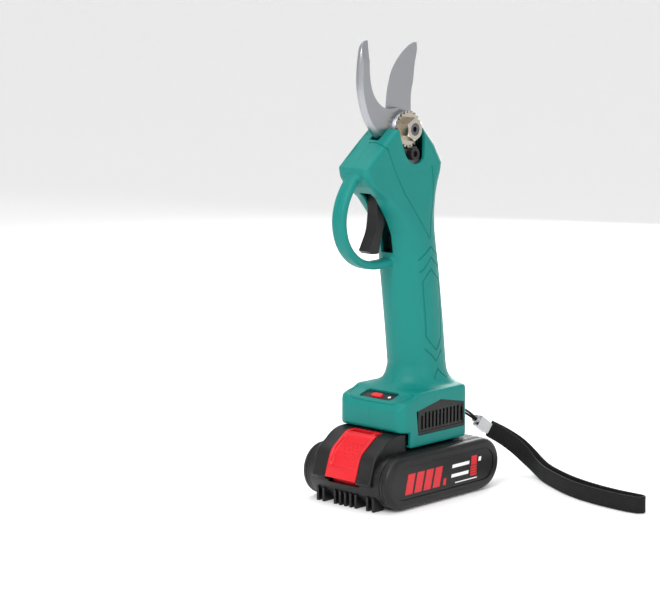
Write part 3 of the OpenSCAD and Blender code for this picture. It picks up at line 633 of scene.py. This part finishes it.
def fine_steps(line, step):
    """The line with points no further apart than step."""
    made = [Vector(line[0])]
    for a, b in zip(line, line[1:]):
        a, b = Vector(a), Vector(b)
        count = max(1, math.ceil((b - a).length / step))
        made += [a.lerp(b, (i + 1) / count) for i in range(count)]
    return made


def groove_tools(piece):
    """Tubes that lie on the piece's skin along each moulded line."""
    tree = BVHTree.FromObject(piece, bpy.context.evaluated_depsgraph_get())
    tools = []
    for s in (-1, 1):
        for line in SIDE_GROOVES:
            found = []
            for p in fine_steps([(x, 0, z) for x, z in line], GROOVE_STEP):
                start = Vector((p.x * MM, s * 0.06, p.z * MM))
                place = tree.ray_cast(start, Vector((0, -s, 0)))[0]
                if place:
                    found.append(place / MM)
            tools.append(tube("groove", found, GROOVE_R))
    for line in FRONT_GROOVES:
        found = [tree.find_nearest(p * MM)[0] / MM for p in fine_steps(line, GROOVE_STEP)]
        tools.append(tube("groove", found, GROOVE_R))
    near = [(-16, 24, 0), (-21, 24, 0), (-26, 22.4, 0), (-28.9, 18.4, 0), (-29.4, 13, 0)]
    lip = near + [(x, -y, z) for x, y, z in near[::-1]]
    found = [tree.ray_cast(Vector((p.x * MM, p.y * MM, 0.1)), Vector((0, 0, -1)))[0] / MM
             for p in fine_steps(smooth(lip, 3), GROOVE_STEP)]
    tools.append(tube("groove", found, LIP_GROOVE_R))
    return tools


def add_housing():
    """Two moulded halves that meet in the middle plane."""
    whole = merged("shell", [handle("handle", 0), guard(),
                             foot("foot", FOOT_LINE, FOOT_HALF, -31.6, 35.6, 7)])
    grooves = groove_tools(whole)
    seat = panel_slab("seat", rounded((-5.1, -13.8), (5.1, 13.8), 2.2), -4, 4)
    vents = [slab("vent", VENT, s * 29 - 3.6, s * 29 + 3.6) for s in (-1, 1)]
    cut(whole, *grooves)
    cut(whole, void(), seat, *vents, *openings())
    left = new_piece("housing_left_half", whole.data.copy())
    cut(left, block("other_half", (-100, -PARTING, 0), (100, 60, 300)),
        slab("window", smooth(NUT_WINDOW, 3), -20, -8))
    sinks = [slab("sink", circle(x, z, 2.6, 24), 6, 30) for x, z in BOSSES]
    cut(whole, block("other_half", (-100, -60, 0), (100, PARTING, 300)), *sinks)
    whole.name = "housing_right_half"
    for piece, node in ((left, "housing_left"), (whole, "housing_right")):
        shade(piece, 32)
        stand_for(piece, node)


add_housing()


# ---- pieces set into the housing ----------------------------------------------------------------

BUTTON_Y = 2
LIGHT_Y = -8.6


def oval(extra):
    """Outline of the power button, grown by extra, across and along the panel."""
    r = 2.4 + extra
    return [(x, y + BUTTON_Y + (2.2 if y > 0 else -2.2)) for x, y in circle(0, 0.001, r, 40)]


def add_panel():
    """The black panel with holes for its button and light, and the button."""
    plate = panel_slab("control_plate", rounded((-4.85, -13.55), (4.85, 13.55), 2.2), -2.4, 0)
    ring = [(x, y + LIGHT_Y) for x, y in circle(0, 0, 1.25, 24)]
    cut(plate, panel_slab("hole", oval(0.25), -4, 4), panel_slab("hole", ring, -4, 4))
    stand_for(soft_edges(plate, 0.3), "control_panel")
    button = panel_slab("power_key", oval(0), -1.6, 0.9)
    stem = panel_slab("stem", [(x, y + BUTTON_Y) for x, y in circle(0, 0, 1.2, 20)], -4.2, -1.4)
    combined(button, [stem], "UNION")
    stand_for(soft_edges(button, 0.55, 4), "power_button")


def add_grilles():
    """A slotted plate with a raised frame on each side of the foot."""
    inner = [(-13.7, 46), (-15.2, 58.4), (6.5, 62.5), (28.1, 58.6), (29.2, 45.9)]
    for s, node in ((-1, "vent_grille_left"), (1, "vent_grille_right")):
        plate = slab(node + "_plate", VENT, s * 27 - 0.9, s * 27 + 0.9)
        combined(plate, [block("edge", (-15.7, -30, 44.1), (30.3, 30, 64.3))], "INTERSECT")
        dish = slab("dish", inner, s * 28 - 0.65, s * 28 + 0.65)
        slots = [block("slot", (-12.2 + 3.55 * i, s * 27 - 2, 47.6),
                       (-10.5 + 3.55 * i, s * 27 + 2, 58 if 0 < i < 11 else 56.5))
                 for i in range(12)]
        cut(plate, dish, *slots)
        stand_for(soft_edges(plate, 0.22, 2), node)


TRIGGER_FRONT = [(-28.4, 198), (-29.2, 192), (-29.3, 185), (-31, 175), (-35.4, 166.5),
                 (-37.4, 162.8)]
TRIGGER_BACK = [(-34.6, 160.8), (-28.6, 160.6), (-27.2, 163.4), (-25.2, 171), (-22.6, 179),
                (-20.5, 186), (-15.4, 189)]
TRIGGER_PIN = (-19.5, 195)


def add_trigger():
    """The long curved lever, forked round its spring at the pin."""
    outline = smooth(TRIGGER_FRONT, 4) + smooth(TRIGGER_BACK, 4) + [(-16, 197)]
    lever = slab("trigger_lever", outline, -4.3, 4.3)
    combined(lever, [slab("lobe", circle(*TRIGGER_PIN, 4), -4.3, 4.3)], "UNION")
    cut(lever, slab("pin", circle(*TRIGGER_PIN, 1.55), -6, 6),
        slab("fork", circle(*TRIGGER_PIN, 4.4), -2.3, 2.3),
        block("fork", (-19.5, -2.3, 186.8), (-10.5, 2.3, 194.8)))
    stand_for(soft_edges(lever, 1.1, 4, 40), "trigger")


add_panel()
add_grilles()
add_trigger()


# ---- blades ---------------------------------------------------------------------------------------

PIVOT = (-4.3, 238.7)
LEAN = math.radians(6.8)
HOOK_OUTER = [(-35.6, 295.4), (-38.9, 294.6), (-41.9, 291.4), (-43.5, 285), (-44.6, 276),
              (-44.7, 267.5), (-43.5, 260), (-41, 251.8), (-37.6, 245), (-33, 239.2), (-27, 233),
              (-19, 227.8), (-12, 222.5)]
HOOK_INNER = [(-9, 252.6), (-14, 252), (-18.9, 252.2), (-24, 253.4), (-28.6, 256.7),
              (-32.3, 261), (-34.8, 266.6), (-36.2, 274), (-36.6, 283), (-36.2, 290)]
BLADE_EDGE = [(12.6, 293), (7.4, 291.9), (2.4, 289.5), (-1.6, 286.7), (-5.4, 283.2), (-9, 279),
              (-11.9, 274), (-13.8, 268.5), (-15.2, 263.5), (-16, 258.5), (-16.5, 254),
              (-16.6, 248), (-14, 241)]
BLADE_SPINE = [(7, 236), (7.2, 243), (7.2, 250), (7.1, 257), (7.9, 263.5), (9.3, 268.5),
               (10, 274), (10.7, 279), (12, 284), (13.1, 289)]


def on_drive_line(u, v):
    """A point given across and up the leaning line of the motor, from the pivot."""
    return (PIVOT[0] + u * math.cos(LEAN) - v * math.sin(LEAN),
            PIVOT[1] + u * math.sin(LEAN) + v * math.cos(LEAN))


def drawn_in(line, most):
    """The line moved to its right-hand side, by less and less towards its two ends."""
    made = []
    last = len(line) - 1
    for i, (x, z) in enumerate(line):
        ahead = Vector(line[min(i + 1, last)]) - Vector(line[max(i - 1, 0)])
        ahead.normalize()
        by = most * min(1, 3 * i / last, 6 * (last - i) / last)
        made.append((x - ahead.y * by, z + ahead.x * by))
    return made


def faceted(name, line, rest, levels):
    """A blade blank whose edge along line is ground back at each level, as Y and distance."""
    return skin(name, [[(x, y, z) for x, z in drawn_in(line, by) + rest] for y, by in levels])


def add_fixed_blade():
    """The hook blade with its ground outer rim, flat tip, tang and raised boss."""
    rest = [(-4, 221)] + smooth(HOOK_INNER, 4)
    blade = faceted("hook_blade", smooth(HOOK_OUTER, 4), rest,
                    ((-4.05, 2.3), (-2.5, 0.3), (-2.2, 0), (-0.05, 0)))
    tang = [on_drive_line(u, v) for u, v in rounded((-8, -18.6), (8, 0), 2)]
    cone = [[(x, y, z) for x, z in circle(*PIVOT, r, 64)]
            for y, r in ((-6.8, 11.3), (-6.5, 11.5), (-1, 12))]
    combined(blade, [slab("root", circle(*PIVOT, 12.2, 64), -4.05, -0.05),
                     slab("tang", tang, -4.05, -0.05), skin("boss", cone)], "UNION")
    holes = [slab("hole", circle(*on_drive_line(u, -16), 1.3, 20), -5, 1) for u in (-5.7, 5.7)]
    ground = skin("tip", [[(x, -6, 282.5), (x, -4.05, 282.5), (x, -1.1, 297), (x, -6, 297)]
                          for x in (-50, -28)])
    cut(blade, slab("bore", circle(*PIVOT, 5.52, 48), -8, 1), ground, *holes)
    stand_for(soft_edges(blade, 0.18, 2), "fixed_blade")


def add_moving_blade():
    """The moving blade, ground to its edge on the far side."""
    blade = faceted("cutting_blade", smooth(BLADE_EDGE, 4), smooth(BLADE_SPINE, 4),
                    ((0.05, 0), (0.6, 0), (3.05, 4)))
    combined(blade, [slab("root", circle(*PIVOT, 12, 64), 0.05, 3.05)], "UNION")
    holes = []
    for a in (-30, 20, 70):
        t = math.radians(a) + LEAN
        place = (PIVOT[0] - 9.6 * math.sin(t), PIVOT[1] - 9.6 * math.cos(t))
        holes.append(slab("hole", circle(*place, 1.3, 20), -1, 8))
    cut(blade, slab("bore", circle(*PIVOT, 5.53, 48), -1, 5), *holes)
    stand_for(soft_edges(blade, 0.15, 2), "moving_blade")


add_fixed_blade()
add_moving_blade()


# ---- pack -----------------------------------------------------------------------------------------

PACK_MID = 17.9
PACK_R = 17.1
PACK_STRAIGHT = 38.9
SEAM = 30.2
HUMP = smooth([(-59.6, 17.5), (-57.8, 22.6), (-56, 28.4), (-54.3, 33), (-51.8, 36.1), (-47.2, 39.3),
               (-40.6, 43.9), (-33, 46.1), (-24, 46.1)], 4) + [(-24, 33), (-45, 10)]
POCKET = [(-62, 14.5), (-60, 24), (-56, 36), (-42, 46), (-38.4, 48), (-30, 48), (-30, 38),
          (-50, 26), (-52, 14.5)]
PACK_SCREWS = [(x, y) for x in (-28.05, 28.05) for y in (-20, 20)]
TERMINALS = (-12, -6, 0, 6, 12)


def pack_outline(inset, steps=28):
    """The pack's side outline, a bar with round ends, drawn in by inset."""
    r = PACK_R - inset
    return [(s * (PACK_STRAIGHT + r * math.sin(math.pi * i / steps)),
             PACK_MID - s * r * math.cos(math.pi * i / steps))
            for s in (1, -1) for i in range(steps + 1)]


def add_pack_case():
    """The middle of the pack with its hump, rails, feet and bumper ribs."""
    case = slab("pack_body", pack_outline(0), -SEAM, SEAM)
    hump = applied(soft_edges(slab("hump", HUMP, -25, 25), 1.6, 4, 40))
    extra = [hump, block("deck", (-30, -20, 34), (29.2, 20, 46.1)),
             block("rail", (-30, -24.8, 38.95), (29.2, 24.8, 42.25))]
    for y in (-24, -19, -9, -4.5, 0, 4.5, 9, 19, 24):
        extra += [block("rib", (x, y - 0.9, 0), (x + 9, y + 0.9, 9)) for x in (-54.5, 45.5)]
    extra += [block("bumper", (47, s * 21.5 - 4, 8), (56.6, s * 21.5 + 4, 21)) for s in (-1, 1)]
    extra += [block("pad", (x, -26, 0), (x + 8, 26, 3)) for x in (-40, -4, 32)]
    combined(case, extra, "UNION")
    tools = [slab("room", pack_outline(2.2), -SEAM - 1, SEAM + 1), slab("pocket", POCKET, -13.3, 13.3),
             block("contacts", (14, -15, 31), (26, 15, 40.4))]
    tools += [block("contact", (16, y - 0.75, 40), (34, y + 0.75, 46.9)) for y in TERMINALS]
    tools.append(skin("inlet", [[(x - 17, y, z) for x, y in circle(0, 0, 3.9)] for z in (30, 50)]))
    for r, low, high in ((1.65, -1, 5), (3.1, -1, 1.7)):
        tools += [skin("screw_hole", [[(x + u, y + v, z) for u, v in circle(0, 0, r, 24)]
                                      for z in (low, high)]) for x, y in PACK_SCREWS]
    cut(case, *tools)
    seat = [block("seat", (-50, -14.4, 27.2), (-41, 14.4, 29.2))]
    combined(case, seat, "UNION")
    stand_for(soft_edges(case, 0.5, 3, 40), "pack_case")


# How deep into the cap, as a share of its thickness, and how far the outline is drawn in there
CAP_STEPS = ((0, 0.5), (0.05, 0), (0.3, 0), (0.33, 0.45), (0.38, 0.45), (0.41, 0), (0.56, 0.08),
             (0.68, 0.32), (0.78, 0.75), (0.87, 1.35), (0.94, 2.1), (0.985, 2.85), (1, 3.5))


def add_caps():
    """Hollow end caps with a seam round them, a soft edge and a shallow recess."""
    for s, node in ((-1, "pack_cap_left"), (1, "pack_cap_right")):
        start = SEAM + 0.05
        cap = skin(node + "_shell", [[(x, s * (start + share * (37.5 - start)), z)
                                      for x, z in pack_outline(inset)]
                                     for share, inset in CAP_STEPS])
        cut(cap, slab("room", pack_outline(2.2), *sorted((s * 20, s * 33.6))),
            slab("recess", pack_outline(6.6), *sorted((s * 36.6, s * 40))))
        stand_for(soft_edges(cap, 0.3, 3, 50), node)


def leaning(x, z, width, height, lean=2.4):
    """A four-sided outline that leans to the right."""
    return [(x, z), (x + width, z), (x + width + lean, z + height), (x + lean, z + height)]


RED_BLOCKS = [leaning(-38.5 + 8.9 * i, 10.4, 6.9, 13, 3.2) for i in range(4)]
RED_BLOCKS.append(leaning(-1.6, 10.4, 2.6, 4.4, 0.8))
RED_BLOCKS += [leaning(25.9, 11.9 + 1.75 * i, 6.2, 1.4, 0.3) for i in range(4)]
RED_BLOCKS.append(leaning(26.7, 19, 5.6, 6, 0.4))
WHITE_STRIPES = [leaning(7.6, 20.2, 17, 2.2, 0.4), leaning(6.6, 14, 17.2, 2.2, 0.4),
                 leaning(34, 20.6, 2.6, 2.8, 0.5), leaning(10.6, 9.8, 22, 0.7, 0.1)]


def add_graphics():
    """Thin coloured blocks and stripes on both sides of the pack."""
    for s, side in ((-1, "left"), (1, "right")):
        for outlines, name, material in ((RED_BLOCKS, "red_blocks", red_graphic),
                                         (WHITE_STRIPES, "white_stripes", white_graphic)):
            tiles = [slab("tile", [(-s * x, z) for x, z in outline], *sorted((s * 36.9, s * 37)))
                     for outline in outlines]
            add_to(joined(name + "_" + side, tiles), "pack_label_" + side, material)


LATCH_FRONT = [(-59.6, 18.6), (-58.2, 22.9), (-56.3, 28.6), (-54.7, 33), (-52.4, 36.2), (-48, 39.5),
               (-41.8, 43.9), (-38.8, 45.4)]
LATCH_BACK = [(-37.6, 43.4), (-51.6, 32.8), (-55.6, 20.4)]
DISH = [(-60, 26), (-57.2, 25.6), (-55.2, 27.8), (-53.9, 32), (-51.4, 35.4), (-42.9, 41.5),
        (-42.3, 43.7), (-46, 48), (-58, 40)]
DOT_ROWS = ((-53.9, 31.6), (-52.4, 34), (-50.4, 36.1), (-48.2, 37.7), (-46, 39.3))


def add_latch():
    """The red push button with a dished, dotted pad and the hook bar behind it."""
    button = slab("latch_pad", smooth(LATCH_FRONT, 4) + LATCH_BACK, -13, 13)
    front = skin("corners", [[(x, y, z) for y, z in rounded((-13, 15), (13, 48), 3.2)]
                             for x in (-70, -30)])
    combined(button, [front], "INTERSECT")
    applied(soft_edges(button, 1, 4, 25))
    dish = applied(soft_edges(slab("dish", DISH, -10.6, 10.6), 1.2, 4, 60))
    cut(button, dish)
    bars = [block("arm", (-39.6, s * 10.6 - 1.6, 42.6), (-32.2, s * 10.6 + 1.6, 46))
            for s in (-1, 1)]
    bars.append(block("hook", (-34.6, -12.2, 42.6), (-32.2, 12.2, 46)))
    bars.append(block("apron", (-51.6, -12.6, 14), (-50.4, 12.6, 33)))
    combined(button, bars, "UNION")
    shade(stand_for(button, "latch_button"), 35)


def add_latch_dots():
    """Staggered rows of small raised dots on the latch's pad."""
    work = bmesh.new()
    for k, (x, z) in enumerate(DOT_ROWS):
        for i in range(4):
            place = Vector((x, (i - 1.5) * 3.6 + (0.9 if k % 2 else -0.9), z)) * MM
            bmesh.ops.create_icosphere(work, subdivisions=2, radius=0.6 * MM,
                                       matrix=Matrix.Translation(place))
    mesh = bpy.data.meshes.new("latch_dots")
    work.to_mesh(mesh)
    work.free()
    mesh.shade_smooth()
    add_to(new_piece("latch_dots", mesh), "latch_button", materials["red_plastic"])


def add_latch_springs():
    """Two coil springs under the latch, made to fill the box of the CAD springs."""
    low, high = (Vector(corner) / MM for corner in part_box("latch_springs"))
    wire = 0.4
    r = (high.x - low.x) / 2 - wire
    rise = high.z - low.z - 2 * wire
    turns, steps = 5, 20
    parts = []
    for y in (-9, 9):
        line = [Vector(((low.x + high.x) / 2 + r * math.cos(math.tau * i / steps),
                        y + r * math.sin(math.tau * i / steps),
                        low.z + wire + rise * i / (turns * steps)))
                for i in range(turns * steps + 1)]
        parts.append(tube("coil", line, wire))
    coils = joined("latch_coils", parts)
    coils.data.shade_smooth()
    stand_for(coils, "latch_springs")
    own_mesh(coils)


add_pack_case()
add_caps()
add_graphics()
add_latch()
add_latch_dots()
add_latch_springs()


# ---- everything else ------------------------------------------------------------------------------

def paint_kept_nodes():
    """Each CAD node that is shown takes the material of its slot."""
    for node, piece in frame["nodes"].items():
        paint(piece, materials[slot_of(node)])


def add_floor():
    """A plain pale floor that curves up into a low wall all round."""
    flat, bend = 1.6, 1.7
    profile = [(0.001, 0)]
    profile += [(flat + bend * math.sin(math.radians(9 * i)),
                 bend - bend * math.cos(math.radians(9 * i))) for i in range(11)]
    turns = 96
    points = [(r * math.cos(math.tau * k / turns), r * math.sin(math.tau * k / turns), z)
              for r, z in profile for k in range(turns)]
    faces = [(j * turns + k, j * turns + (k + 1) % turns, (j + 1) * turns + (k + 1) % turns,
              (j + 1) * turns + k) for j in range(len(profile) - 1) for k in range(turns)]
    mesh = bpy.data.meshes.new("floor")
    mesh.from_pydata(points, [], faces)
    mesh.shade_smooth()
    floor = new_piece("floor", mesh)
    paint(floor, surface("floor", tone(250, 250, 250), 0.9, grain=40, bump=0, vary=0.01))


paint_kept_nodes()
add_floor()
